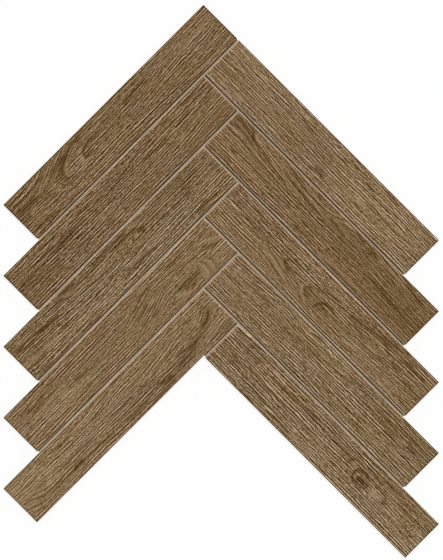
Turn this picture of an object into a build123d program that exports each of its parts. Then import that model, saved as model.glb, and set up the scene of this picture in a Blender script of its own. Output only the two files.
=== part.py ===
from build123d import *
import os
from math import sqrt

# Herringbone mosaic sheet: porcelain strips laid at 45 degrees in a zigzag, bonded to one backing mesh.
# Millimetres, +Z up. The origin is the middle of the sheet's box, on the underside of the backing.
# The printed faces look up, and the apex of the zigzag points along +Y.

# Strip
strip_length = 228.5
strip_width = 38.5
strip_thickness = 9.0
edge_bevel = 0.5  # ground off the four top edges

# Layout
joint_width = 2.0
strips_per_side = 5

# Backing mesh, bonded over the backs of the strips and bare at the bottom of the joints
backing_thickness = 0.8
backing_inset = 0.5  # trimmed back from the sheet's outline, so that sheets can butt

# Each strip steps down the zigzag by one pitch along both laying directions.
pitch = strip_width + joint_width
sheet_width = (2 * strip_length + pitch) / sqrt(2)
sheet_height = ((2 * strips_per_side - 1) * pitch + strip_length + strip_width) / sqrt(2)

# The laying plane is the top of the backing, with its origin at the apex of the zigzag.
# Its X runs down to the right, along the right-hand strips; its Y runs up to the right.
laying_plane = Plane(
    origin=(strip_length / sqrt(2) - sheet_width / 2, sheet_height / 2, backing_thickness),
    x_dir=(1, -1, 0),
    z_dir=(0, 0, 1),
)


def left_strip(row):
    """Centre and size, in the laying plane, of a strip that runs down to the left."""
    step = row * pitch
    centre = (step + strip_width / 2, -step - strip_length / 2)
    return centre, (strip_width, strip_length)


def right_strip(row):
    """Centre and size, in the laying plane, of a strip that runs down to the right."""
    step = row * pitch
    centre = (step + pitch + strip_length / 2, -step - strip_width / 2)
    return centre, (strip_length, strip_width)


strips = {}
for row in range(strips_per_side):
    strips[f"strip_left_{row + 1}"] = left_strip(row)
    strips[f"strip_right_{row + 1}"] = right_strip(row)

os.makedirs("parts", exist_ok=True)

# Porcelain strips, each sawn from a plank and bevelled round its printed face
for name, (centre, size) in strips.items():
    with BuildPart() as strip:
        with BuildSketch(laying_plane):
            with Locations(centre):
                Rectangle(*size)
        extrude(amount=strip_thickness)
        printed_face = strip.faces().sort_by(Axis.Z)[-1]
        chamfer(printed_face.edges(), length=edge_bevel)
    strip.part.label = name
    export_step(strip.part, f"parts/{name}.step")

# Backing mesh: the strips' outlines, each grown by half a joint so that they meet, then trimmed back
with BuildPart() as backing:
    with BuildSketch(laying_plane.offset(-backing_thickness)):
        for centre, size in strips.values():
            with Locations(centre):
                Rectangle(*(side + joint_width for side in size))
        offset(amount=-(joint_width / 2 + backing_inset), kind=Kind.INTERSECTION)
    extrude(amount=backing_thickness)
backing.part.label = "backing_mesh"
export_step(backing.part, "parts/backing_mesh.step")
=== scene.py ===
from collections import namedtuple
from math import ceil, pi, radians, sqrt

import bmesh
import bpy
import numpy as np
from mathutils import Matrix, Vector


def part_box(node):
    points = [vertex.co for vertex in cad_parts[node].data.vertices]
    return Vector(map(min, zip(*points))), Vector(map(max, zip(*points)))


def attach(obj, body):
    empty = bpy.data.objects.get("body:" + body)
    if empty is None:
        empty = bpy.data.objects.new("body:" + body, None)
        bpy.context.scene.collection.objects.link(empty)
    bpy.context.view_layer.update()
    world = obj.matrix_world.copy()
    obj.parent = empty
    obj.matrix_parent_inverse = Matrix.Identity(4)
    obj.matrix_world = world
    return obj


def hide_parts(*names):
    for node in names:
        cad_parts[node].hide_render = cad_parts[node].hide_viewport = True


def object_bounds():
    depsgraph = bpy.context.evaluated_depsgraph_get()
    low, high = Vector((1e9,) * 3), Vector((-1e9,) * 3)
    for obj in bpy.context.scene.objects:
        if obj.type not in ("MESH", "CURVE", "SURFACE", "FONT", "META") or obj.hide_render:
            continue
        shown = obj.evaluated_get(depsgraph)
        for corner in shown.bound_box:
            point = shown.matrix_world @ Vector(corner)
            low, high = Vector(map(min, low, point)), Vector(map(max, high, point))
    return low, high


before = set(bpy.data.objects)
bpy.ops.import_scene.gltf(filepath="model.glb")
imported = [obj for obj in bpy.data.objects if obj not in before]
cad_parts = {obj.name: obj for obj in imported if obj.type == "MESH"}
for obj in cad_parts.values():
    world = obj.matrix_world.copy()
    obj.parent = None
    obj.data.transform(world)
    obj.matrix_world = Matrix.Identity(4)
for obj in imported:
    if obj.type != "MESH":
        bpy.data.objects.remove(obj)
cad_low, cad_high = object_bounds()

# Herringbone mosaic sheet: ten wood-look porcelain strips on a mesh backing, seen from straight above.
# Sizes are metres unless a comment says otherwise.
MM = 0.001
BODY = "root"

# Photograph
IMAGE_HEIGHT = 560  # pixels
PIXEL_SIZE = 0.8075 * MM
SHEET_SHIFT_RIGHT = -0.35  # pixels from the middle of the image to the middle of the sheet
SHEET_SHIFT_DOWN = 1.25

# Camera and light
LENS = 500.0  # millimetres, as is the sensor
SENSOR = 36.0
CLIP_END = 100.0
SUN_TILT = 10.0  # degrees from straight down, falling from the top of the image
SUN_TURN = 9.0  # degrees from the top of the image towards its right side
SUN_SHARE = 0.66
SUN_SPREAD = 1.5  # degrees
SKY_SHARE = 1.0 - SUN_SHARE
FLOOR_SIZE = 30.0
FLOOR_COLOR = 0.97
FLOOR_GLOW = 0.8  # share of the floor that is seen as plain white, so that the shadow stays faint
WHITE = (1.0, 1.0, 1.0, 1.0)

# Strip mesh
CELLS_ALONG = 300
CELLS_ACROSS = 100
COARSE_STEP = 10  # cells of the top edge to one cell of the underside
EDGE_BEVEL = 0.5 * MM
RELIEF_DEPTH = 0.22 * MM
JOINT_WIDTH = 2.0 * MM

# Painted light on a strip's rim, in grey levels from the print: painted highlight in a joint above or below
# it, and painted shade at the sheet's outline
UPPER_RIM_PAINTED_HIGHLIGHT = {"left": 56.0, "right": 46.0}
LOWER_RIM_PAINTED_HIGHLIGHT = {"left": 14.0, "right": 58.0}
OUTLINE_RIM_PAINTED_SHADE = -30.0
RIM_CALM = 0.5  # share of the fine lines that shows there
RIM_REACH = 1.5 * EDGE_BEVEL

# Grain of the printed face, in millimetres
GRAIN_SPACING = 600.0  # apart from strip to strip in the noise, so that no two strips match
WOBBLE_WAVES = 7
WOBBLE_HEIGHT = 0.15
WOBBLE_ALONG = (60.0, 200.0)
WOBBLE_ACROSS = (22.0, 60.0)
STROKE_STEP = 0.25
STROKE_REACH = 2.5  # half widths within which a stroke is worked out
STROKE_TAPER = 0.15  # share of a stroke's way in which it fades in or out
STROKE_GAIN = 1.75  # grey levels for each level of a stroke's change
STROKE_CALM = 0.5  # share of the fine lines that gives way under a stroke of STROKE_FULL or more
STROKE_FULL = 10.0  # a weaker stroke leaves more of the fine lines, so that it can be a broad shade
TURN_CALM = 0.25  # share that gives way where the lines turn by STEEP_SLOPE or more
STEEP_SLOPE = 0.3
NO_TURN = 1e-9  # where the sum of turns starts, so that it can be divided by

# Noise in the grain. Each noise has its own layer, which keeps it apart from the others.
NOISE_DETAIL = 1.0
NOISE_GAIN = 4.0  # spreads the noise, mostly from 0.25 to 0.75, to about -1 and 1
FIBRE_LAYER = 10.0
SLANT_LAYER = 20.0
DRIFT_LAYER = 0.2  # this and the next two are steps from the layer of the fibres or the slant
FADE_LAYER = 0.5
HAIR_LAYER = 5.0

# Kinds of long line: pitch, and the length and width of the stretches in which they fade, in millimetres
LINES = {"close": (1.95, 10.0, 2.4), "even": (2.5, 13.0, 3.0), "spaced": (3.1, 16.0, 3.8)}
LINE_FAINTEST = 0.2
LINE_FADE = (-0.6, 0.7)  # noise at which a line is faintest, and full
LINE_DRIFTS = ((0.5, 90.0, 9.0), (0.2, 10.0, 4.0))  # size in pitches, then length and width in millimetres
HAIRS = (16.0, 0.8)  # length and width of the finest lines

# Other kinds of streak, and spots of colour: layer, then length and width in millimetres
STREAKS = {
    "dashes": (31.0, 3.8, 0.8),
    "specks": (41.0, 1.3, 0.95),
    "bands": (51.0, 45.0, 4.0),
    "zones": (61.0, 110.0, 16.0),
    "pores": (71.0, 4.0, 0.36),
}
RED_SPOTS = (81.0, 44.0, 18.0)
BLUE_SPOTS = (91.0, 48.0, 20.0)
PORE_EDGE = (0.35, 0.8)  # noise at which a pore begins, and is full

# Weight of each kind of streak in the print, in grey levels
STREAK_WEIGHTS = {
    "close": 66.0,
    "even": 36.0,
    "spaced": 22.0,
    "hairs": 9.0,
    "dashes": 34.0,
    "specks": 44.0,
    "bands": 2.0,
    "zones": 4.0,
    "pores": -10.0,
}
FINE_LIMIT = 100.0  # grey levels that all of them together never pass

# Share of the relief that each kind of streak cuts
RELIEF_WEIGHTS = {"close": 0.25, "even": 0.25, "spaced": 0.1, "hairs": 0.15, "dashes": 0.1}
RELIEF_EDGE = (0.4, -0.4)  # sum of the streaks at which the relief begins, and is full

# Colour of the printed face: a grey level, from 0 to TOP_LEVEL, plus these steps of red, green and blue
TOP_LEVEL = 255.0
WARMTH = (24.3, 0.4, -29.5)
GREY_STOPS = (10, 40, 70, 100, 130, 160, 190)
VEIL = 0.008  # light that the matt surface reflects over the print
RED_SHARE = 0.018  # more red light for each level that a strip is redder
RED_DRIFT = 0.03
BLUE_DRIFT = 0.06
PRINT_GLOSS = (60.0, 150.0, 0.78, 0.64)  # two grey levels, and the roughness at each
PRINT_SHEEN = 0.1
PRINT_BUMP = (0.35, 0.06 * MM)  # strength and depth

# Materials of one colour: levels of red, green and blue in dark and light spots, noises that mottle it as
# (scale, detail, share), roughness, and strength and depth of the bump from the first noise
Plain = namedtuple("Plain", "dark light noises roughness bump")
PLAINS = {
    "fired_body": Plain(
        (112, 92, 70), (168, 146, 119), ((2200.0, 2.0, 0.6), (90.0, 3.0, 0.4)), 0.85, (0.5, 0.05 * MM)
    ),
    "backing_film": Plain(
        (176, 157, 131), (212, 192, 164), ((900.0, 3.0, 0.5), (60.0, 2.0, 0.5)), 0.8, (0.6, 0.1 * MM)
    ),
    "net_thread": Plain((190, 184, 170), (232, 228, 218), ((3000.0, 1.0, 1.0),), 0.6, (0.5, 0.05 * MM)),
}
PLAIN_STOPS = (0.3, 0.7)

# Backing
FILM_LOW = 0.3 * MM
THREAD_PITCH = 5.0 * MM
THREAD_WIDTH = 1.0 * MM
THREAD_THICKNESS = 0.28 * MM
THREAD_WAVE = 0.1 * MM
THREAD_STEP = 2.5 * MM
THREAD_EDGE = 0.6 * MM
THREAD_CORNERS = ((-1, 0), (0, 1), (1, 0), (0, -1))  # sideways and upwards, in half sizes
UPRIGHT = 0.5  # a face whose normal rises less than this is a side

# Directions on the sheet: the apex of the zigzag points along +Y
UP_RIGHT = np.array([1.0, 1.0]) / sqrt(2)
DOWN_RIGHT = np.array([1.0, -1.0]) / sqrt(2)
DOWN_LEFT = np.array([-1.0, -1.0]) / sqrt(2)

# The look of one strip: its ground, then strokes for the streaks, rings and broad shades that stand out.
# Places are (u, v) in millimetres: u runs along the strip, and v across it.
# grey: level without the strokes. red: levels redder than other strips. contrast: of the fine lines.
# turns: (u, v, reach along, reach across, slope) of places where the fine lines run aslant.
# calms: (u, v, reach along, reach across, share) of places where they show less, or more if share is below 0.
Ground = namedtuple("Ground", "grey red contrast turns calms")
Stroke = namedtuple("Stroke", "change half_width points")


def dark(depth, half_width, *points):
    return Stroke(-depth, half_width, points)


def light(height, half_width, *points):
    return Stroke(height, half_width, points)


LOOKS = {}
LOOKS["strip_left_1"] = (
    Ground(
        grey=94, red=1.0, contrast=0.97,
        turns=((48, 7, 30, 9, -0.42), (170, 16, 70, 12, -0.075)),
        calms=((115, 6, 45, 12, 0.2), (10, 19, 18, 7, 0.2), (12, 6, 24, 7, -0.2)),
    ),
    light(18, 0.8, (0, 6), (20, 6), (30, 4.5), (38, 2.6)),
    dark(16, 0.8, (0, 8), (20, 7.6), (33, 6.4), (40, 4.4)),
    dark(14, 0.7, (0, 3.8), (12, 3.9), (24, 3.4)),
    light(13, 0.8, (8, 11.2), (18, 10.4), (24, 9), (36, 7.8)),
    dark(13, 2.2, (1, 14.5), (14, 14.5), (24, 14.5)),
    dark(10, 2.0, (1, 22), (9, 22)),
    light(15, 1.0, (24.5, 15.8), (28, 13.6), (34, 11.5), (43, 9.5)),
    light(13, 1.3, (10, 22.6), (15, 21), (19, 19)),
    dark(18, 0.8, (0, 33.3), (14, 33.3), (24, 34), (32, 35.2)),
    light(12, 0.8, (11, 26.8), (18, 27.2), (24, 28.6)),
    dark(14, 0.9, (39, 12), (46, 11), (54, 8), (63, 5)),
    light(14, 0.8, (44, 14), (50, 11), (56, 9)),
    light(13, 0.7, (40, 6.2), (48, 4)),
    light(13, 0.7, (52, 5), (61, 2.4)),
    light(12, 0.9, (49, 28.2), (44, 26.6), (41.2, 24), (38, 23.4)),
    light(8, 1.8, (41, 24), (39.6, 19), (40.6, 14.5)),
    dark(10, 2.2, (48.6, 21.6), (48.6, 17.4), (51, 13.6), (57, 9.6), (64, 6.4)),
    dark(11, 0.8, (54, 26.6), (47.6, 24.8), (44.4, 20.6), (44.8, 15.2), (49.4, 11), (57, 8.2)),
    dark(12, 0.9, (62, 25.4), (55.6, 23.6), (52, 20.4), (51.6, 16.4), (53.4, 13.2)),
    dark(8, 0.8, (58, 26.6), (51.4, 24.4), (48.6, 21), (48.4, 18)),
    dark(17, 1.0, (51.4, 17), (54, 13), (61, 9), (68, 6), (76, 4.2), (88, 3.4)),
    light(12, 0.9, (54.4, 23), (54, 19), (56.6, 14.6), (62, 11.4)),
    light(12, 1.2, (54, 19), (63, 19)),
    light(12, 1.2, (65, 19.6), (73, 18.6)),
    light(13, 0.8, (66, 22.5), (74, 22.3), (80, 23)),
    dark(23, 0.9, (92, 12.2), (85, 12.4), (78, 13.8), (74.8, 17.5), (75.8, 20.6), (80, 22)),
    light(12, 0.9, (80, 11.4), (74.6, 13.6), (72, 17.8), (72.8, 21)),
    dark(10, 0.8, (86, 15.4), (80.6, 16.4), (79, 18.6), (81, 20.8), (90, 21.4)),
    dark(16, 0.8, (85, 14), (91, 13), (96, 11.6)),
    light(11, 0.6, (84, 16.5), (90, 12.4), (96, 8.8), (103, 7)),
    light(12, 0.8, (60, 31.5), (75, 31.7), (92, 31.2)),
    dark(12, 0.7, (58, 29.8), (78, 30.3), (100, 29)),
    dark(22, 1.0, (124, 11), (133, 9.8), (142, 9.4), (156, 9)),
    light(14, 0.8, (188, 15.2), (200, 13.5), (209, 12.2), (222, 11.8)),
    dark(10, 0.7, (192, 17.8), (212, 15.6)),
    dark(12, 0.8, (188, 33.5), (205, 32.6), (222, 31.5)),
    light(12, 0.8, (190, 34.8), (215, 33.8), (226, 32.8)),
    dark(12, 0.9, (166, 34), (179, 35.6)),
    dark(5, 8.0, (2, 14), (38, 18)),
    light(4, 9.0, (186, 10), (228, 12)),
)
LOOKS["strip_left_2"] = (
    Ground(
        grey=93, red=0.5, contrast=1.11,
        turns=((55, 11, 60, 12, 0.03), (190, 18, 55, 20, -0.04)),
        calms=((205, 31, 50, 9, 0.4), (125, 31, 18, 9, 0.25), (8, 31, 25, 9, 0.3), (110, 8, 30, 12, -0.25)),
    ),
    light(12, 0.8, (12, 3.5), (30, 4), (55, 5.2)),
    light(14, 0.8, (58, 5.5), (64, 5.7), (72, 6)),
    dark(12, 0.7, (27, 5.6), (48, 6.5), (60, 6.8)),
    dark(14, 0.9, (16, 11), (30, 12), (45, 12.8), (65, 13), (85, 14)),
    dark(16, 0.9, (36, 15.5), (50, 15.8), (72, 16)),
    dark(12, 1.2, (3, 16.5), (20, 16.8)),
    dark(16, 1.2, (63, 21), (70, 21)),
    dark(12, 0.8, (56, 27), (64, 27.3), (75, 28)),
    light(10, 1.3, (84, 24), (95, 24), (106, 24)),
    dark(16, 0.8, (155, 6.6), (163, 6.5)),
    dark(16, 0.9, (176, 4.3), (184, 4)),
    dark(16, 0.8, (196, 5.5), (206, 5.2), (217, 5.5)),
    light(14, 0.7, (195, 7), (206, 6.8), (217, 7)),
    dark(18, 0.8, (196, 8.7), (206, 8.5), (221, 8.8)),
    dark(17, 1.0, (145, 13.5), (150, 14.5), (162, 15), (173, 14.5)),
    dark(19, 1.0, (182, 13.6), (192, 13), (203, 13.4)),
    dark(17, 0.8, (213, 13.5), (220, 13.5)),
    dark(16, 0.8, (198, 16.6), (212, 16.3), (221, 16.6)),
    light(10, 0.8, (150, 19.8), (168, 20)),
    light(8, 1.6, (170, 23), (186, 22.4)),
    dark(4, 7.0, (74, 14), (150, 8)),
    light(4, 12.0, (172, 20), (228, 18)),
    dark(4, 8.0, (0, 26), (40, 24)),
)
LOOKS["strip_left_3"] = (
    Ground(
        grey=97, red=-1.5, contrast=1.1,
        turns=((50, 14, 55, 14, 0.05), (118, 26, 35, 12, -0.05)),
        calms=((195, 6, 45, 9, 0.35), (90, 31, 50, 9, -0.25), (210, 31, 30, 9, -0.15)),
    ),
    dark(18, 1.0, (0, 10), (14, 10.3), (24, 11), (34, 12)),
    dark(22, 1.2, (27, 12.5), (40, 13.3), (51, 13.6)),
    dark(17, 0.8, (4, 12.6), (15, 13.8), (25, 14.6)),
    light(10, 1.3, (8, 8), (21, 8)),
    light(12, 2.2, (22, 24.6), (30, 25.6), (38, 26.8)),
    light(9, 2.2, (1, 23.6), (17, 25)),
    dark(16, 0.8, (0, 27.5), (12, 28.5), (22, 29)),
    dark(15, 0.8, (4, 36), (23, 37)),
    dark(17, 0.9, (43, 23), (50, 23.5), (57, 23.8)),
    dark(13, 0.8, (46, 33), (64, 33.5), (82, 34)),
    dark(18, 1.3, (59, 2.6), (66, 3.6), (78, 4.5)),
    dark(16, 0.9, (66, 7.6), (80, 7.5), (96, 7), (114, 7.3)),
    dark(14, 1.0, (44, 5.5), (56, 6.6), (64, 9), (70, 10.6)),
    dark(18, 0.9, (92, 4), (114, 4), (138, 4)),
    dark(20, 0.9, (112, 7.2), (125, 7.3), (147, 7.3)),
    light(12, 1.0, (94, 11.5), (105, 11.3)),
    dark(20, 1.9, (143, 11), (148, 12)),
    dark(12, 1.2, (146, 13.5), (147, 15.5)),
    light(12, 1.2, (138, 12), (142, 12)),
    dark(18, 0.9, (162, 17), (172, 17.3), (187, 17.5)),
    light(14, 0.8, (114, 26), (130, 26.7), (149, 26.8)),
    dark(18, 1.0, (99, 30.2), (108, 29.3), (118, 28.8), (130, 28.6), (142, 29.5), (151, 30)),
    dark(16, 1.2, (189, 17), (196, 18.2)),
    dark(13, 1.0, (193, 13), (199, 16)),
    dark(16, 0.9, (192, 10.6), (200, 9.8), (213, 8.8)),
    dark(16, 0.9, (182, 33), (198, 33.5), (206, 34), (217, 34)),
    dark(14, 0.9, (170, 29.5), (181, 30)),
    light(7, 6.0, (32, 31), (118, 32)),
    light(4, 9.0, (134, 29), (222, 27)),
    dark(4, 6.0, (150, 6), (214, 6)),
)
LOOKS["strip_left_4"] = (
    Ground(
        grey=101, red=0.5, contrast=0.85,
        turns=((143, 21, 24, 14, -0.28), (30, 12, 28, 7, -0.06), (203, 32, 9, 9, 2.0)),
        calms=((95, 18, 25, 9, 0.35), (8, 31, 14, 9, 0.25)),
    ),
    dark(15, 0.9, (9, 9.6), (14, 8.8), (21, 8.6)),
    dark(15, 1.2, (13, 12), (26, 11.5), (32, 10.4), (40, 9.6)),
    dark(15, 0.8, (17, 15.2), (32, 15), (47, 13.4)),
    light(12, 0.8, (19, 17.6), (35, 16.5), (46, 15.4)),
    dark(16, 1.0, (52, 20), (62, 20.4), (79, 21)),
    dark(13, 1.0, (63, 18.4), (71, 18.5)),
    dark(12, 0.8, (38, 7.6), (60, 7.4), (74, 7.2)),
    light(12, 0.8, (84, 13), (114, 13)),
    dark(13, 0.9, (142, 9), (161, 9)),
    dark(15, 0.9, (131, 22), (140, 19.6), (146, 17), (147.4, 14)),
    dark(12, 0.8, (133, 15), (141, 13)),
    dark(13, 1.0, (132, 28.2), (141, 25.4)),
    dark(14, 1.1, (142, 29.2), (151, 27.4)),
    dark(13, 0.9, (144, 22.2), (152, 21)),
    light(11, 1.0, (139, 31), (146, 29)),
    light(10, 1.4, (147, 18), (154, 17.6)),
    dark(18, 1.5, (170, 27.4), (184, 28), (198, 29)),
    dark(15, 1.2, (177, 31), (187, 31.6)),
    dark(12, 0.9, (179, 18.2), (188, 18.4)),
    light(13, 1.8, (168, 29), (174, 32.4), (180, 35.6)),
    light(10, 1.0, (196, 20), (200.4, 25), (200.4, 31), (198.6, 38)),
    dark(9, 0.9, (199, 21), (203, 26), (203, 31), (202.4, 38)),
    light(9, 0.9, (202, 20), (206.4, 27), (206, 32), (205.2, 38)),
    dark(10, 0.9, (207, 24), (209.6, 29), (208.8, 33), (208.4, 38)),
    dark(15, 1.0, (176, 7.6), (196, 8)),
    dark(14, 0.9, (202, 9), (211, 9.3)),
    light(12, 0.9, (206, 10.8), (213, 12.6), (219, 15.2)),
    dark(13, 1.5, (210, 17.4), (216, 20), (223, 22.6)),
    light(9, 2.0, (219, 16), (224, 20)),
    light(4, 9.0, (20, 28), (74, 22)),
    dark(3, 8.0, (78, 12), (112, 12)),
    light(5, 5.0, (186, 33), (228, 31)),
)
LOOKS["strip_left_5"] = (
    Ground(
        grey=105, red=0.0, contrast=0.88,
        turns=(
            (10, 25, 18, 8, 0.22), (98, 7, 30, 6, -0.09), (165, 16, 28, 7, -0.14), (208, 29, 26, 8, -0.1),
            (213, 15, 9, 6, -0.5),
        ),
        calms=((55, 31, 22, 8, 0.3), (6, 18, 12, 8, 0.2)),
    ),
    dark(14, 0.8, (0, 20.3), (8, 21.5), (14, 25), (20, 27.4)),
    dark(14, 0.8, (0, 26), (9, 28), (17, 28.8)),
    dark(19, 0.9, (15, 27.6), (33, 29), (50, 29.9), (72, 30.2), (100, 31)),
    light(12, 0.8, (2, 25.6), (14, 28)),
    light(13, 0.9, (24, 22.6), (36, 23.8), (47, 24.4)),
    light(10, 1.1, (33, 15.8), (45, 16.4), (62, 17)),
    dark(13, 1.0, (18, 19.4), (30, 20)),
    dark(13, 0.8, (39, 22), (60, 22), (82, 22.6)),
    dark(13, 1.0, (51, 8.5), (69, 7.4)),
    light(12, 0.8, (68, 8.4), (85, 7), (98, 5.2), (107, 3.8)),
    dark(13, 0.9, (12, 31), (13.5, 35)),
    dark(14, 1.6, (52, 29), (62, 28.6)),
    dark(12, 0.8, (88, 11.6), (106, 11)),
    dark(14, 0.9, (114, 21.3), (126, 21)),
    dark(17, 0.9, (108, 32), (120, 32.6), (133, 32.5)),
    dark(16, 0.9, (133, 36.4), (148, 36.6), (162, 36.4)),
    light(13, 0.8, (138, 18.6), (150, 18.4), (162, 17.2), (172, 15.4), (180, 13)),
    dark(14, 0.8, (150, 19.6), (165, 18), (176, 16.8)),
    light(13, 1.2, (154, 21), (166, 20.6)),
    dark(14, 2.4, (147, 28), (154, 31), (161, 33.4)),
    dark(16, 1.0, (168, 30.4), (180, 30), (194, 27.8)),
    dark(15, 1.2, (172, 23), (180, 24.4), (190, 26), (201, 26.4)),
    light(13, 0.8, (199, 32.2), (215, 31), (228, 27.8)),
    light(10, 1.4, (204.5, 13), (204.5, 19)),
    dark(21, 1.0, (204, 21), (211, 20.6), (216, 17.6), (219, 13.6)),
    dark(14, 1.3, (211, 12.4), (217, 11), (220, 13)),
    dark(12, 1.0, (195, 9), (206, 9.4)),
    dark(8, 4.0, (148, 33), (172, 29), (194, 25), (212, 19), (224, 14)),
    light(6, 11.0, (-6, 18), (36, 18)),
    dark(5, 9.0, (100, 30), (144, 26)),
    dark(6, 5.0, (208, 34), (234, 33)),
)
LOOKS["strip_right_1"] = (
    Ground(
        grey=105, red=0.0, contrast=0.95,
        turns=(),
        calms=((60, 22, 80, 16, 0.18), (142, 20, 16, 9, 0.15)),
    ),
    dark(14, 1.0, (73, 2.2), (84, 2.2)),
    light(12, 0.8, (67, 4), (80, 4), (91, 4)),
    dark(14, 1.2, (80, 8.4), (88, 9.6), (96, 9.8)),
    dark(12, 0.8, (51, 12.2), (62, 13), (73, 12.5)),
    dark(13, 0.9, (58, 20.3), (67, 20.4)),
    light(10, 1.1, (27, 7.3), (41, 7.8)),
    light(11, 1.2, (28, 32.5), (37, 32.5)),
    dark(11, 0.8, (0, 24), (12, 24.2), (24, 24)),
    dark(15, 1.1, (115, 29.7), (126, 30)),
    dark(9, 2.6, (116, 27.4), (126, 28.4)),
    dark(15, 1.3, (154, 9), (163, 9)),
    dark(13, 1.2, (158, 27), (165, 27)),
    light(12, 1.2, (155, 23.6), (167, 22.4)),
    dark(13, 0.9, (164, 20.5), (180, 20.3), (201, 20.6)),
    dark(12, 1.2, (165, 11.5), (168, 14.5)),
    dark(11, 1.2, (126, 8.5), (133, 8.3)),
    dark(13, 1.0, (167, 2.6), (186, 3)),
    dark(14, 0.9, (211, 2.6), (228, 3)),
    dark(14, 1.0, (218, 8), (227, 8)),
    dark(11, 0.8, (174, 34), (211, 34.3)),
    light(4, 6.0, (-4, 6), (62, 8)),
    dark(4.5, 9.0, (74, 26), (126, 18)),
    light(4, 9.0, (138, 28), (218, 20)),
)
LOOKS["strip_right_2"] = (
    Ground(
        grey=93, red=1.0, contrast=0.84,
        turns=((58, 8, 62, 8, 0.12), (172, 8, 60, 9, 0.09), (190, 21, 30, 6, 0.07), (22, 17, 36, 5, 0.05)),
        calms=((205, 31, 40, 10, 0.38), (125, 19, 30, 9, 0.2)),
    ),
    dark(17, 1.2, (17, 1), (21, 4.4), (26, 7.8), (37, 9)),
    dark(15, 1.2, (0, 4), (12, 4.6), (20, 6.8), (28, 8.6)),
    light(17, 1.8, (23.5, 2.5), (26.5, 5), (33, 6.2)),
    dark(12, 1.0, (0, 10.6), (14, 10.2), (27, 11)),
    dark(18, 0.9, (37, 10), (46, 12), (57, 13.6), (69, 14.6)),
    light(14, 0.8, (44, 3.6), (58, 5.4), (70, 8), (90, 9.6), (112, 11)),
    dark(13, 0.9, (62, 3), (75, 5.4), (87, 7.6)),
    dark(15, 0.8, (58, 7.4), (80, 10.6), (100, 12.6), (112, 13.4)),
    light(12, 0.8, (44, 8.4), (52, 10.4), (70, 12.4), (90, 13)),
    light(11, 0.8, (78, 3.6), (95, 5.6), (112, 7)),
    dark(16, 1.2, (93, 1.5), (98, 4)),
    light(13, 0.7, (114, 6.8), (126, 8), (137, 10)),
    dark(13, 1.2, (15, 25), (24, 25.6)),
    light(10, 1.8, (12, 28.4), (34, 29.4), (62, 30)),
    dark(12, 0.8, (0, 15), (20, 16), (40, 17.4), (62, 18.8)),
    dark(12, 0.8, (30, 24.4), (60, 24.6)),
    dark(12, 0.9, (112, 9), (124, 10.6), (134, 12.4)),
    dark(14, 1.0, (136, 2), (149, 4)),
    dark(17, 1.2, (153, 2.6), (159, 4.4), (165, 6.6)),
    dark(13, 0.9, (167, 6), (187, 7.6)),
    light(12, 1.2, (160, 3), (168, 5.4), (186, 5), (200, 6.6)),
    dark(14, 1.6, (194, 2.8), (206, 5), (218, 7)),
    dark(14, 0.9, (164, 20), (183, 21.6), (200, 23), (214, 24)),
    light(10, 0.8, (168, 17.4), (184, 18), (200, 19)),
    light(11, 1.0, (130, 33.4), (150, 33.8), (176, 33.8)),
    dark(10, 1.0, (134, 36), (176, 36.2)),
    light(5, 11.0, (-6, 20), (54, 14)),
    dark(3, 9.0, (134, 14), (190, 18)),
    dark(5, 10.0, (184, 20), (236, 24)),
)
LOOKS["strip_right_3"] = (
    Ground(
        grey=98, red=0.0, contrast=0.92,
        turns=((68, 27, 22, 6, 0.18), (145, 12, 32, 5, -0.12), (168, 26, 26, 8, -0.09)),
        calms=((90, 7, 40, 8, -0.35), (112, 27, 55, 11, 0.28)),
    ),
    dark(16, 0.9, (22, 15.4), (32, 16.4), (41, 15.6)),
    dark(15, 0.9, (0, 7.4), (9, 7.4)),
    dark(12, 0.8, (42, 4.6), (66, 4.6), (82, 4)),
    light(13, 0.8, (57, 6), (80, 6), (104, 5)),
    light(10, 1.0, (35, 21.8), (48, 22.4)),
    dark(20, 1.0, (78, 14.2), (72.4, 16), (71.4, 18.6), (75, 20.8), (86, 20.4)),
    light(13, 0.9, (49, 22), (55, 24.4), (63, 25), (71, 27), (85, 30)),
    dark(12, 0.9, (58, 25.8), (68, 29), (79, 31.4)),
    dark(12, 0.8, (76, 22), (80, 25.4)),
    light(12, 1.0, (102, 15.6), (97, 19), (95, 23), (98, 26.6), (104, 30), (108, 32.4)),
    dark(13, 1.2, (103, 16.2), (108, 15), (118, 12), (130, 10.6)),
    dark(12, 1.4, (103, 17.6), (99.4, 21), (99.8, 24.6), (105, 28.4)),
    dark(9, 0.9, (112, 20.4), (105, 21.6), (103.4, 24), (107, 27.4)),
    dark(18, 1.0, (129, 19.4), (121, 19.8), (116.4, 22.4), (114, 26.4), (113.6, 31)),
    dark(12, 0.9, (127, 23), (121, 24), (118.4, 26.8), (118, 30)),
    light(12, 0.8, (112, 9.4), (122, 9), (132, 9.2)),
    dark(20, 1.1, (137, 13), (146, 11.4), (156, 10), (164, 9)),
    dark(12, 2.2, (164, 8), (178, 6.6), (190, 4.6)),
    dark(13, 1.0, (176, 8.6), (182, 12), (186, 14)),
    light(12, 0.9, (168, 12.4), (176, 12.4), (183, 14.8)),
    dark(14, 1.0, (146, 15.4), (156, 17.4)),
    light(15, 1.2, (166, 20), (178, 19.4)),
    dark(14, 0.9, (157, 22.6), (170, 22), (187, 20)),
    dark(15, 1.4, (189, 15), (195, 16.4), (201, 15.2)),
    dark(19, 0.9, (195, 8.6), (205, 8), (224, 8.6)),
    dark(15, 0.9, (203, 20), (226, 20)),
    light(12, 1.0, (148, 31.4), (164, 28.4)),
    dark(13, 0.9, (150, 35), (163, 32.6)),
    light(12, 0.9, (190, 34.4), (210, 34)),
    dark(5, 5.0, (112, 25), (122, 22)),
    light(3.5, 8.0, (-4, 29), (92, 32)),
    light(4, 8.0, (146, 29), (220, 29)),
    dark(2.5, 6.0, (154, 6), (212, 6)),
)
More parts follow.
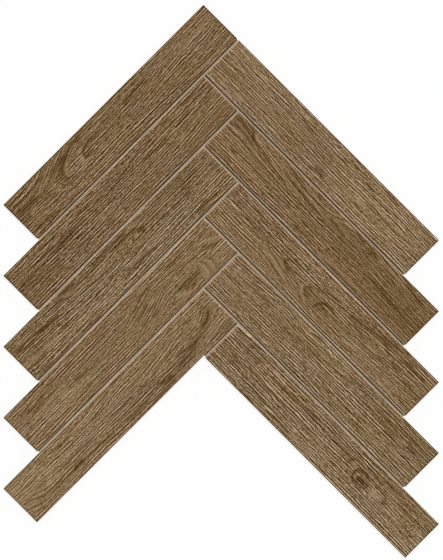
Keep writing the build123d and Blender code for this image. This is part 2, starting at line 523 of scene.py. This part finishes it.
LOOKS["strip_right_4"] = (
    Ground(
        grey=102, red=-1.5, contrast=0.97,
        turns=((35, 8, 45, 9, -0.06), (88, 9, 22, 9, -0.1), (140, 8, 22, 6, -0.06)),
        calms=((110, 7, 30, 8, -0.2), (205, 7, 35, 8, 0.2), (215, 31, 25, 10, 0.25), (25, 14, 40, 16, 0.15)),
    ),
    dark(15, 0.9, (23, 8.8), (30, 8.4), (37, 7.6)),
    dark(12, 0.8, (8, 4.9), (17, 4.6)),
    dark(14, 0.9, (22, 3.8), (30, 3), (40, 2)),
    dark(12, 1.0, (16, 13), (30, 12.4), (50, 11.4)),
    dark(12, 0.8, (0, 18.4), (24, 18)),
    dark(14, 0.8, (72, 11.2), (84, 9.8), (98, 9), (114, 8.7), (128, 8.3)),
    light(14, 0.8, (73, 12.9), (88, 11), (100, 10.3), (114, 10.2), (138, 9.5)),
    dark(13, 0.8, (79, 13.6), (96, 12.2), (114, 12), (130, 11.5), (141, 10.5)),
    dark(13, 0.8, (91, 15.2), (104, 14.9), (113, 15.2)),
    dark(12, 0.8, (64, 17), (80, 17.2), (89, 16.7)),
    dark(14, 1.2, (92, 2.6), (99, 2.6)),
    light(11, 0.7, (68, 7.4), (84, 5.4), (96, 5)),
    dark(12, 0.9, (130, 7.4), (138, 6.4), (149, 5.6)),
    dark(15, 0.9, (177, 11), (193, 11)),
    dark(15, 0.9, (183, 18), (197, 18.2)),
    dark(20, 1.0, (206, 14.5), (217, 14.7)),
    light(12, 1.0, (194, 15.7), (206, 14.6)),
    dark(13, 0.8, (199, 8.9), (213, 8)),
    light(11, 0.9, (154, 23), (171, 23)),
    dark(13, 0.9, (161, 25), (171, 24.5)),
    dark(13, 0.9, (157, 32), (171, 32.2)),
    dark(13, 0.9, (192, 32.3), (199, 32.3)),
    light(4, 11.0, (-6, 16), (34, 16)),
    light(5, 5.0, (94, 7), (138, 6)),
    dark(4.5, 9.0, (164, 12), (236, 10)),
)
LOOKS["strip_right_5"] = (
    Ground(
        grey=103, red=-1.0, contrast=1.06,
        turns=((205, 24, 26, 7, 0.06),),
        calms=((12, 8, 25, 9, -0.2), (205, 6, 40, 9, 0.22), (218, 24, 22, 12, -0.3)),
    ),
    dark(15, 0.9, (0, 4), (14, 4.4), (40, 4.6)),
    dark(20, 0.8, (1, 9.6), (20, 9.5), (38, 9)),
    dark(18, 1.1, (46, 10.6), (72, 11.4), (90, 11), (108, 11.6)),
    light(15, 0.9, (45, 8), (56, 8.2), (70, 8.6)),
    dark(15, 0.8, (28, 20), (55, 20.6), (85, 20), (112, 21)),
    light(12, 1.2, (50, 18), (58, 17.6), (68, 18)),
    dark(17, 0.9, (32, 29.5), (52, 29.4), (58, 30.4), (64, 31.4)),
    light(20, 0.9, (62, 33.6), (66, 32), (71, 31.4)),
    dark(18, 0.8, (61, 35.6), (69, 33.8), (78, 33.3), (94, 33.6)),
    dark(14, 0.8, (0, 25), (26, 25)),
    dark(12, 0.8, (62, 6.2), (70, 6)),
    light(13, 1.0, (94, 17.4), (99, 18.4)),
    dark(15, 0.9, (114, 11.4), (128, 11.8), (148, 12.4)),
    dark(25, 1.0, (154, 12), (151, 15.4), (150.6, 19.4), (153, 23.8), (158, 25.6)),
    dark(21, 1.5, (153, 15.4), (157, 13.4), (161, 14), (162.6, 16)),
    dark(30, 2.2, (154.6, 20.6), (159, 19.4), (163, 20.6)),
    dark(22, 1.1, (163.6, 17), (166, 20), (164.4, 23.4), (159, 24.6), (155, 23.4)),
    light(9, 0.8, (153.4, 17), (153.4, 20.6), (155.6, 22.8)),
    light(9, 0.9, (154, 17.2), (159, 16.8), (164, 16.2)),
    dark(15, 0.8, (146, 9), (141.8, 13), (140.6, 17), (141.6, 20.4)),
    dark(13, 0.8, (138, 11), (135, 15), (134.8, 19)),
    light(12, 0.8, (148, 12), (145.8, 15), (145.4, 19)),
    dark(15, 0.8, (128, 7.4), (140, 7), (151, 6.4)),
    dark(15, 0.8, (151, 8), (162, 8.4), (170, 9.6), (175, 11)),
    dark(13, 0.8, (150, 12.8), (166, 13.4), (178, 14.6), (185, 17.6)),
    light(13, 2.2, (169, 17.4), (178, 20), (170, 22.4)),
    dark(15, 1.4, (183, 18), (186, 20), (183, 22)),
    dark(19, 1.0, (202, 21), (210, 21.4), (223, 23)),
    light(13, 1.4, (186, 23), (195, 22.4)),
    dark(15, 0.8, (180, 25), (200, 25.2), (228, 27)),
    dark(14, 1.0, (196, 12.8), (212, 12), (228, 12)),
    dark(4, 6.0, (-4, 19), (34, 19)),
    light(4, 5.0, (84, 32), (128, 32)),
    dark(4, 5.0, (152, 6), (214, 6)),
    light(6, 7.0, (194, 24), (236, 25)),
)


def linear(level):
    """The light that a colour level, as shown on screen, stands for by the standard curve of screens."""
    share = max(0.0, min(1.0, level / TOP_LEVEL))
    if share <= 0.04045:
        return share / 12.92
    return ((share + 0.055) / 1.055) ** 2.4


def color(red, green, blue):
    return (linear(red), linear(green), linear(blue), 1.0)


# Node helpers, for shader trees and geometry trees alike


def fill(tree, node, values):
    """Sets a node's inputs by name or number: a socket is linked, anything else is a value."""
    for key, value in values.items():
        if isinstance(value, bpy.types.NodeSocket):
            tree.links.new(value, node.inputs[key])
        else:
            node.inputs[key].default_value = value


def add(tree, kind, inputs=None, **settings):
    node = tree.nodes.new(kind)
    for name, value in settings.items():
        setattr(node, name, value)
    fill(tree, node, inputs or {})
    return node


def calc(tree, operation, *values):
    return add(tree, "ShaderNodeMath", dict(enumerate(values)), operation=operation).outputs[0]


def total(tree, *values):
    result = values[0]
    for value in values[1:]:
        result = calc(tree, "ADD", result, value)
    return result


def noise(tree, along, across, layer, length, width):
    """Noise stretched along the grain, from about -1 to 1."""
    x = calc(tree, "DIVIDE", along, length)
    y = calc(tree, "DIVIDE", across, width)
    place = add(tree, "ShaderNodeCombineXYZ", {"X": x, "Y": y, "Z": layer}).outputs[0]
    texture = add(tree, "ShaderNodeTexNoise", {"Vector": place, "Scale": 1.0, "Detail": NOISE_DETAIL})
    return calc(tree, "MULTIPLY_ADD", texture.outputs[0], NOISE_GAIN, -NOISE_GAIN / 2)


def remap(tree, value, low, high, to_low=0.0, to_high=1.0):
    """Goes smoothly from to_low, where the value is low, to to_high, where it is high."""
    inputs = {0: value, 1: low, 2: high, 3: to_low, 4: to_high}
    return add(tree, "ShaderNodeMapRange", inputs, interpolation_type="SMOOTHSTEP").outputs[0]


def drawn_lines(tree, along, across, layer, pitch, fade_along, fade_across):
    """Lines a pitch apart that drift a little and fade in and out along the grain."""
    turns = calc(tree, "DIVIDE", across, pitch)
    for number, (size, length, width) in enumerate(LINE_DRIFTS):
        drift = noise(tree, along, across, layer + DRIFT_LAYER * number, length, width)
        turns = calc(tree, "MULTIPLY_ADD", drift, size, turns)
    wave = calc(tree, "SINE", calc(tree, "MULTIPLY", turns, 2 * pi))
    fade = noise(tree, along, across, layer + FADE_LAYER, fade_along, fade_across)
    return calc(tree, "MULTIPLY", wave, remap(tree, fade, *LINE_FADE, LINE_FAINTEST, 1.0))


def long_lines(tree, along, across, layer):
    """All kinds of long line, following the direction across the grain that is given."""
    kinds = {}
    for number, (kind, sizes) in enumerate(LINES.items()):
        kinds[kind] = drawn_lines(tree, along, across, layer + number, *sizes)
    kinds["hairs"] = noise(tree, along, across, layer + HAIR_LAYER, *HAIRS)
    return kinds


def streaks(tree, grain, turn):
    """The fine streaks of the wood print at one point of the grain, each from about -1 to 1.
    Long lines follow the fibres, and where turn is 1, the slanting direction of that place."""
    along, fibre, slant = add(tree, "ShaderNodeSeparateXYZ", {0: grain}).outputs
    by_fibre = long_lines(tree, along, fibre, FIBRE_LAYER)
    by_slant = long_lines(tree, along, slant, SLANT_LAYER)
    kinds = {}
    for kind in by_fibre:
        change = calc(tree, "SUBTRACT", by_slant[kind], by_fibre[kind])
        kinds[kind] = calc(tree, "MULTIPLY_ADD", change, turn, by_fibre[kind])
    for kind, sizes in STREAKS.items():
        kinds[kind] = noise(tree, along, fibre, *sizes)
    kinds["pores"] = remap(tree, kinds["pores"], *PORE_EDGE)
    return kinds


def weigh(tree, kinds, weights):
    """The sum of the kinds of streak that have a weight."""
    return total(tree, *[calc(tree, "MULTIPLY", kinds[kind], weight) for kind, weight in weights.items()])


# Materials


def new_material(name):
    material = bpy.data.materials.new(name)
    material.use_nodes = True
    tree = material.node_tree
    shader = tree.nodes["Principled BSDF"]
    return material, tree, shader


def attribute(tree, name, output="Fac"):
    return add(tree, "ShaderNodeAttribute", attribute_name=name).outputs[output]


def rough_bump(tree, bump, height):
    strength, depth = bump
    node = add(tree, "ShaderNodeBump", {"Strength": strength, "Distance": depth, "Height": height})
    return node.outputs[0]


def print_color(level):
    """Colour of the print at a grey level, less the light that the matt surface adds to it."""
    shown = color(*[level + step for step in WARMTH])[:3]
    return [max(0.0, part - VEIL) for part in shown] + [1.0]


def wood_print():
    """Matt printed face: warm brown oak, darker in the pores and lighter between them."""
    material, tree, shader = new_material("wood_print")
    grain = attribute(tree, "grain", "Vector")
    kinds = streaks(tree, grain, attribute(tree, "turn"))
    fine = calc(tree, "MULTIPLY", weigh(tree, kinds, STREAK_WEIGHTS), attribute(tree, "contrast"))
    limited = calc(tree, "TANH", calc(tree, "DIVIDE", fine, FINE_LIMIT))
    # the stored tone holds the print's grey level together with the painted highlight and shade of the rims
    grey = calc(tree, "MULTIPLY_ADD", limited, FINE_LIMIT, attribute(tree, "tone_with_painted_rims"))
    ramp = add(tree, "ShaderNodeValToRGB", {"Fac": calc(tree, "DIVIDE", grey, TOP_LEVEL)})
    stops = ramp.color_ramp.elements
    for index, level in enumerate(GREY_STOPS):
        stop = stops[index] if index < len(stops) else stops.new(1.0)
        stop.position = level / TOP_LEVEL
        stop.color = print_color(level)
    along, fibre = add(tree, "ShaderNodeSeparateXYZ", {0: grain}).outputs[:2]
    red_spots = noise(tree, along, fibre, *RED_SPOTS)
    redder = calc(tree, "MULTIPLY_ADD", red_spots, RED_DRIFT, attribute(tree, "red"))
    blue_spots = noise(tree, along, fibre, *BLUE_SPOTS)
    bluer = calc(tree, "MULTIPLY_ADD", blue_spots, BLUE_DRIFT, 1.0)
    tint = add(tree, "ShaderNodeCombineXYZ", {"X": redder, "Y": 1.0, "Z": bluer}).outputs[0]
    tinted = add(tree, "ShaderNodeVectorMath", {0: ramp.outputs["Color"], 1: tint}, operation="MULTIPLY")
    height = calc(tree, "SUBTRACT", kinds["dashes"], kinds["pores"])
    surface = {
        "Base Color": tinted.outputs[0],
        "Roughness": remap(tree, grey, *PRINT_GLOSS),
        "Normal": rough_bump(tree, PRINT_BUMP, height),
        "Specular IOR Level": PRINT_SHEEN,
    }
    fill(tree, shader, surface)
    return material


def plain_material(name):
    """The dry body of the strips on their cut sides and back, the dried adhesive film, or the glass yarn."""
    plain = PLAINS[name]
    material, tree, shader = new_material(name)
    place = add(tree, "ShaderNodeTexCoord").outputs["Object"]
    textures = []
    for scale, detail, share in plain.noises:
        texture = add(tree, "ShaderNodeTexNoise", {"Vector": place, "Scale": scale, "Detail": detail})
        textures.append((texture.outputs[0], share))
    mix = total(tree, *[calc(tree, "MULTIPLY", texture, share) for texture, share in textures])
    ramp = add(tree, "ShaderNodeValToRGB", {"Fac": mix})
    for stop, position, levels in zip(ramp.color_ramp.elements, PLAIN_STOPS, (plain.dark, plain.light)):
        stop.position = position
        stop.color = color(*levels)
    surface = {
        "Base Color": ramp.outputs["Color"],
        "Roughness": plain.roughness,
        "Normal": rough_bump(tree, plain.bump, textures[0][0]),
    }
    fill(tree, shader, surface)
    return material


# Grain of one strip


def wobble(u, v, random):
    """A slow seeded sway of the grain, in millimetres."""
    sway = np.zeros_like(u)
    for _ in range(WOBBLE_WAVES):
        turn_along = 2 * pi / random.uniform(*WOBBLE_ALONG)
        turn_across = 2 * pi / random.uniform(*WOBBLE_ACROSS) * random.choice((-1, 1))
        phase = random.uniform(0, 2 * pi)
        sway += WOBBLE_HEIGHT * np.sin(turn_along * u + turn_across * v + phase)
    return sway


def bell(distance):
    return np.exp(-distance ** 2)


def away_from(u, v, middle_u, middle_v, reach_along, reach_across):
    """Distance from the middle of a patch, in reaches."""
    return np.hypot((u - middle_u) / reach_along, (v - middle_v) / reach_across)


def curve(points):
    """Places along a smooth line through the points, about a step apart."""
    knots = np.array(points, float)
    line = np.vstack([2 * knots[0] - knots[1], knots, 2 * knots[-1] - knots[-2]])
    spans = []
    for before, start, end, after in zip(line, line[1:], line[2:], line[3:]):
        share = np.linspace(0, 1, ceil(np.hypot(*(end - start)) / STROKE_STEP) + 1)[:, None]
        leaving = (end - before) / 2
        arriving = (after - start) / 2
        square = 3 * (end - start) - 2 * leaving - arriving
        cube = 2 * (start - end) + leaving + arriving
        spans.append(start + leaving * share + square * share ** 2 + cube * share ** 3)
    return np.concatenate(spans)


def stroke_strength(stroke, u, v):
    """How strongly a stroke shows at places (u, v), from 0 to 1. It fades to its sides and its ends."""
    line = curve(stroke.points)
    way = np.linspace(0, 1, len(line))
    taper = np.clip(np.minimum(way, 1 - way) / STROKE_TAPER, 0, 1)
    margin = STROKE_REACH * stroke.half_width
    low_u, low_v = line.min(axis=0) - margin
    high_u, high_v = line.max(axis=0) + margin
    near = (u > low_u) & (u < high_u) & (v > low_v) & (v < high_v)
    away = np.hypot(u[near][:, None] - line[:, 0], v[near][:, None] - line[:, 1])
    strength = np.zeros_like(u)
    strength[near] = (taper * bell(away / stroke.half_width)).max(axis=1)
    return strength


def grain_field(ground, strokes, u, v, number):
    """At places (u, v): the grain as (along, fibre, slant), share of the slant, grey level and contrast."""
    sway = wobble(u, v, np.random.default_rng(number))
    slant = np.zeros_like(u)
    turn = np.full_like(u, NO_TURN)
    contrast = np.full_like(u, ground.contrast)
    for *patch, slope in ground.turns:
        near = bell(away_from(u, v, *patch) ** 2)
        slant += near * (v - slope * (u - patch[0]))
        turn += near
        contrast *= 1 - TURN_CALM * near * min(1.0, abs(slope) / STEEP_SLOPE)
    for *patch, share in ground.calms:
        contrast *= 1 - share * bell(away_from(u, v, *patch))
    grey = np.full_like(u, ground.grey)
    drawn = np.zeros_like(u)
    for stroke in strokes:
        strength = stroke_strength(stroke, u, v)
        grey += STROKE_GAIN * stroke.change * strength
        drawn = np.maximum(drawn, strength * min(1.0, abs(stroke.change) / STROKE_FULL) ** 2)
    contrast *= 1 - STROKE_CALM * drawn
    grain = np.stack([u + GRAIN_SPACING * number, v + sway, slant / turn + sway], axis=1)
    return grain, np.minimum(turn, 1.0), grey, contrast


# Strips


def strip_place(node):
    """Corner, direction along, direction across, size and heights of a strip, read from its CAD node."""
    points = np.array([vertex.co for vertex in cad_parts[node].data.vertices])
    along, across = (UP_RIGHT, DOWN_RIGHT) if "left" in node else (DOWN_RIGHT, DOWN_LEFT)
    u = points[:, :2] @ along
    v = points[:, :2] @ across
    corner = along * u.min() + across * v.min()
    return corner, along, across, np.ptp(u), np.ptp(v), points[:, 2].min(), points[:, 2].max()


def grid_points(cells_u, cells_v, length, width, inset):
    along = np.linspace(inset, length - inset, cells_u + 1)
    across = np.linspace(inset, width - inset, cells_v + 1)
    u, v = np.meshgrid(along, across, indexing="ij")
    return u.ravel(), v.ravel()


def grid_quads(cells_u, cells_v, first):
    row = cells_v + 1
    starts = [first + i * row + j for i in range(cells_u) for j in range(cells_v)]
    return [(start, start + row, start + row + 1, start + 1) for start in starts]


def grid_border(cells_u, cells_v, first):
    """The grid's border vertices in order, once round."""
    row = cells_v + 1
    border = [first + i * row for i in range(cells_u)]
    border += [first + cells_u * row + j for j in range(cells_v)]
    border += [first + i * row + cells_v for i in range(cells_u, 0, -1)]
    border += [first + j for j in range(cells_v, 0, -1)]
    return border


def rim_painted_light(name, u, v, length, width):
    """Which places lie on the strip's rim, and by how many grey levels the painted light there differs from
    the print: painted highlight beside joints, painted shade at the outline.
    """
    side = "left" if "left" in name else "right"
    inner = length - u if side == "left" else u
    first = name.endswith("_1")
    last = name.endswith("_5")
    upper_free = first | (inner > length - width - JOINT_WIDTH)
    lower_free = last & ((side == "right") | (inner > width))
    inner_free = name == "strip_left_1"
    rim = np.zeros(len(u), bool)
    change = np.zeros(len(u))
    # painted highlight on the bevels beside the joints, painted shade where the rim lies on the sheet's
    # outline
    for place, free, joint_highlight in (
        (v > width - RIM_REACH, lower_free, LOWER_RIM_PAINTED_HIGHLIGHT[side]),
        (inner > length - RIM_REACH, True, OUTLINE_RIM_PAINTED_SHADE),
        (inner < RIM_REACH, inner_free, UPPER_RIM_PAINTED_HIGHLIGHT[side]),
        (v < RIM_REACH, upper_free, UPPER_RIM_PAINTED_HIGHLIGHT[side]),
    ):
        rim |= place
        change = np.where(place, np.where(free, OUTLINE_RIM_PAINTED_SHADE, joint_highlight), change)
    return rim, change


def to_side(places, size):
    """Places on the top, with the outermost moved over the bevel to the side of the strip."""
    inner = 2 * EDGE_BEVEL
    return np.interp(
        places, (EDGE_BEVEL, inner, size - inner, size - EDGE_BEVEL), (0.0, inner, size - inner, size)
    )


def strip_faces(border, base_cells, edge_first, base_first):
    """Faces of the printed top with its bevel, and of the plain sides and underside."""
    count = len(border)
    printed = grid_quads(CELLS_ALONG, CELLS_ACROSS, 0)
    for i in range(count):
        after = (i + 1) % count
        printed.append((border[i], edge_first + i, edge_first + after, border[after]))
    plain = grid_quads(*base_cells, base_first)
    base_border = grid_border(*base_cells, base_first)
    half = COARSE_STEP // 2
    for i, foot in enumerate(base_border):
        next_foot = base_border[(i + 1) % len(base_border)]
        fine = [edge_first + (i * COARSE_STEP + j) % count for j in range(COARSE_STEP + 1)]
        for j in range(COARSE_STEP):
            plain.append((fine[j], foot if j < half else next_foot, fine[j + 1]))
        plain.append((fine[half], foot, next_foot))
    return printed, plain


def face_outwards(mesh):
    shaped = bmesh.new()
    shaped.from_mesh(mesh)
    bmesh.ops.recalc_face_normals(shaped, faces=shaped.faces)
    shaped.to_mesh(mesh)
    shaped.free()


def store_fields(mesh, name, number, u, v, length, width, top_count):
    """Stores what the print and the relief need to know at each point of a strip."""
    ground, *strokes = LOOKS[name]
    grain, turn, grey, contrast = grain_field(ground, strokes, u / MM, v / MM, number)
    mesh.attributes.new("grain", "FLOAT_VECTOR", "POINT").data.foreach_set("vector", grain.ravel())
    # The rims get painted highlight and painted shade, added to the print's grey level in the stored tone.
    rim, change = rim_painted_light(name, u, v, length, width)
    contrast[rim] *= RIM_CALM
    fields = {
        "tone_with_painted_rims": grey + change,
        "red": np.full(len(u), 1 + RED_SHARE * ground.red),
        "turn": turn,
        "contrast": contrast,
        "relief": (np.arange(len(u)) < top_count).astype(float),
    }
    for field, values in fields.items():
        mesh.attributes.new(field, "FLOAT", "POINT").data.foreach_set("value", values)


def strip_mesh(name, number, materials):
    """One strip, before its relief is pressed."""
    corner, along, across, length, width, low, high = strip_place(name)
    top_u, top_v = grid_points(CELLS_ALONG, CELLS_ACROSS, length, width, EDGE_BEVEL)
    border = grid_border(CELLS_ALONG, CELLS_ACROSS, 0)
    base_cells = (CELLS_ALONG // COARSE_STEP, CELLS_ACROSS // COARSE_STEP)
    base_u, base_v = grid_points(*base_cells, length, width, 0.0)
    u = np.concatenate([top_u, to_side(top_u, length)[border], base_u])
    v = np.concatenate([top_v, to_side(top_v, width)[border], base_v])
    z = np.repeat([high, high - EDGE_BEVEL, low], [len(top_u), len(border), len(base_u)])
    places = corner + np.outer(u, along) + np.outer(v, across)
    points = np.column_stack([places, z])
    edge_first = len(top_u)
    printed, plain = strip_faces(border, base_cells, edge_first, edge_first + len(border))

    mesh = bpy.data.meshes.new(name + "_look")
    mesh.from_pydata(points.tolist(), [], printed + plain)
    for material in materials:
        mesh.materials.append(material)
    mesh.polygons.foreach_set("material_index", [0] * len(printed) + [1] * len(plain))
    smooth = np.zeros(len(mesh.polygons), bool)
    smooth[: CELLS_ALONG * CELLS_ACROSS] = True
    mesh.polygons.foreach_set("use_smooth", smooth)
    store_fields(mesh, name, number, u, v, length, width, edge_first)
    face_outwards(mesh)
    return mesh


def stored(tree, name, kind="FLOAT"):
    return add(tree, "GeometryNodeInputNamedAttribute", {"Name": name}, data_type=kind).outputs[0]


def relief_tree():
    """Presses the streaks of the print into the face."""
    tree = bpy.data.node_groups.new("grain_relief", "GeometryNodeTree")
    tree.interface.new_socket(name="Geometry", in_out="INPUT", socket_type="NodeSocketGeometry")
    tree.interface.new_socket(name="Geometry", in_out="OUTPUT", socket_type="NodeSocketGeometry")
    start = add(tree, "NodeGroupInput")
    end = add(tree, "NodeGroupOutput")
    kinds = streaks(tree, stored(tree, "grain", "FLOAT_VECTOR"), stored(tree, "turn"))
    depth = remap(tree, weigh(tree, kinds, RELIEF_WEIGHTS), *RELIEF_EDGE)
    drop = calc(tree, "MULTIPLY", calc(tree, "MULTIPLY", depth, stored(tree, "relief")), -RELIEF_DEPTH)
    offset = add(tree, "ShaderNodeCombineXYZ", {"Z": drop}).outputs[0]
    moved = add(tree, "GeometryNodeSetPosition", {"Geometry": start.outputs[0], "Offset": offset})
    tree.links.new(moved.outputs[0], end.inputs[0])
    return tree


def show(name, mesh):
    piece = bpy.data.objects.new(name, mesh)
    bpy.context.scene.collection.objects.link(piece)
    return piece


def make_strips():
    materials = (wood_print(), plain_material("fired_body"))
    relief = relief_tree()
    for number, name in enumerate(LOOKS):
        piece = show(name + "_tile", strip_mesh(name, number, materials))
        pressing = piece.modifiers.new("relief", "NODES")
        pressing.node_group = relief
        graph = bpy.context.evaluated_depsgraph_get()
        pressed = bpy.data.meshes.new_from_object(
            piece.evaluated_get(graph), preserve_all_data_layers=True, depsgraph=graph
        )
        piece.modifiers.clear()
        piece.data = pressed
        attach(piece, BODY)
        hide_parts(name)


# Backing


def make_film():
    """Dried adhesive that holds the net to the strips, bare at the bottom of the joints."""
    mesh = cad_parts["backing_mesh"].data.copy()
    low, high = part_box("backing_mesh")
    for vertex in mesh.vertices:
        vertex.co.z = high.z - (high.z - vertex.co.z) * (high.z - FILM_LOW) / (high.z - low.z)
    mesh.materials.clear()
    mesh.materials.append(plain_material("backing_film"))
    piece = show("backing_film", mesh)
    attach(piece, BODY)
    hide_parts("backing_mesh")


def outline_edges():
    """Edges round the underside of the backing, as pairs of ends."""
    shaped = bmesh.new()
    shaped.from_mesh(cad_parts["backing_mesh"].data)
    low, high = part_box("backing_mesh")
    middle = (low.z + high.z) / 2
    edges = []
    for face in shaped.faces:
        if abs(face.normal.z) < UPRIGHT:
            for edge in face.edges:
                if all(vertex.co.z < middle for vertex in edge.verts):
                    edges.append([tuple(vertex.co.xy) for vertex in edge.verts])
    shaped.free()
    return edges


def thread_runs(edges, axis, place):
    """Stretches, inside the outline, of a thread that keeps this place on the axis."""
    other = 1 - axis
    crossings = []
    for start, end in edges:
        if (start[axis] - place) * (end[axis] - place) < 0:
            share = (place - start[axis]) / (end[axis] - start[axis])
            crossings.append(start[other] + share * (end[other] - start[other]))
    crossings.sort()
    runs = [(first + THREAD_EDGE, last - THREAD_EDGE) for first, last in zip(crossings[::2], crossings[1::2])]
    return [run for run in runs if run[1] - run[0] > THREAD_STEP]


def thread_points(axis, place, ways, heights):
    """A ring of points round a flat thread at each step of its way."""
    points = []
    for way, height in zip(ways, heights):
        for side, lift in THREAD_CORNERS:
            point = [way, way, height + lift * THREAD_THICKNESS / 2]
            point[axis] = place + side * THREAD_WIDTH / 2
            points.append(point)
    return points


def thread_faces(first, steps):
    """Faces of a thread whose points start at first, with both of its ends."""
    corners = len(THREAD_CORNERS)
    last = first + corners * (steps - 1)
    faces = [tuple(range(first, first + corners))]
    for ring in range(first, last, corners):
        for i in range(corners):
            after = (i + 1) % corners
            faces.append((ring + i, ring + after, ring + corners + after, ring + corners + i))
    faces.append(tuple(range(last, last + corners)))
    return faces


def make_net():
    """Woven glass net under the film: flat threads that pass over and under each other in turn."""
    edges = outline_edges()
    low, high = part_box("backing_mesh")
    level = low.z + THREAD_WAVE + THREAD_THICKNESS / 2
    points = []
    faces = []
    for axis in (0, 1):
        start = low[1 - axis] + THREAD_PITCH / 2
        places = np.arange(low[axis] + THREAD_PITCH / 2, high[axis], THREAD_PITCH)
        for number, place in enumerate(places):
            for first, last in thread_runs(edges, axis, place):
                ways = np.linspace(first, last, ceil((last - first) / THREAD_STEP) + 1)
                turns = (ways - start) / THREAD_PITCH
                heights = level + THREAD_WAVE * np.cos(pi * (turns + number + axis))
                faces += thread_faces(len(points), len(ways))
                points += thread_points(axis, place, ways, heights)
    mesh = bpy.data.meshes.new("backing_net")
    mesh.from_pydata(points, [], faces)
    face_outwards(mesh)
    mesh.materials.append(plain_material("net_thread"))
    piece = show("backing_net", mesh)
    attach(piece, BODY)


# Stage


def seen_ray(tree):
    """1 where the background is seen, straight or in a reflection, and 0 where it only lights the part."""
    ray = add(tree, "ShaderNodeLightPath").outputs
    mirrored = calc(tree, "MAXIMUM", ray["Is Glossy Ray"], ray["Is Transmission Ray"])
    return calc(tree, "MAXIMUM", ray["Is Camera Ray"], mirrored)


def make_floor():
    half = FLOOR_SIZE / 2
    mesh = bpy.data.meshes.new("floor")
    corners = [(-half, -half, 0), (half, -half, 0), (half, half, 0), (-half, half, 0)]
    mesh.from_pydata(corners, [], [(0, 1, 2, 3)])
    material, tree, shader = new_material("floor")
    plain = (FLOOR_COLOR, FLOOR_COLOR, FLOOR_COLOR, 1.0)
    fill(tree, shader, {"Base Color": plain, "Roughness": 1.0, "Specular IOR Level": 0.0})
    glow = add(tree, "ShaderNodeEmission", {"Color": WHITE, "Strength": 1.0})
    share = calc(tree, "MULTIPLY", seen_ray(tree), FLOOR_GLOW)
    mixed = add(tree, "ShaderNodeMixShader", {0: share, 1: shader.outputs[0], 2: glow.outputs[0]})
    fill(tree, tree.nodes["Material Output"], {"Surface": mixed.outputs[0]})
    mesh.materials.append(material)
    show("floor", mesh)


def make_light():
    lamp = bpy.data.lights.new("sun", "SUN")
    lamp.energy = pi * SUN_SHARE
    lamp.angle = radians(SUN_SPREAD)
    sun = bpy.data.objects.new("sun", lamp)
    sun.rotation_euler = (-radians(SUN_TILT), 0, -radians(SUN_TURN))
    bpy.context.scene.collection.objects.link(sun)
    world = bpy.data.worlds.new("sky")
    world.use_nodes = True
    tree = world.node_tree
    strength = calc(tree, "MULTIPLY_ADD", seen_ray(tree), 1.0 - SKY_SHARE, SKY_SHARE)
    fill(tree, tree.nodes["Background"], {"Color": WHITE, "Strength": strength})
    bpy.context.scene.world = world


def make_camera():
    lens = bpy.data.cameras.new("camera")
    lens.lens = LENS
    lens.sensor_width = SENSOR
    lens.clip_end = CLIP_END
    camera = bpy.data.objects.new("camera", lens)
    bpy.context.scene.collection.objects.link(camera)
    distance = IMAGE_HEIGHT * PIXEL_SIZE * LENS / SENSOR
    middle = (cad_low + cad_high) / 2
    camera.location = (
        middle.x - SHEET_SHIFT_RIGHT * PIXEL_SIZE,
        middle.y + SHEET_SHIFT_DOWN * PIXEL_SIZE,
        cad_high.z + distance,
    )
    bpy.context.scene.camera = camera


make_strips()
make_film()
make_net()
make_floor()
make_light()
make_camera()
bpy.context.scene.view_settings.view_transform = "Standard"
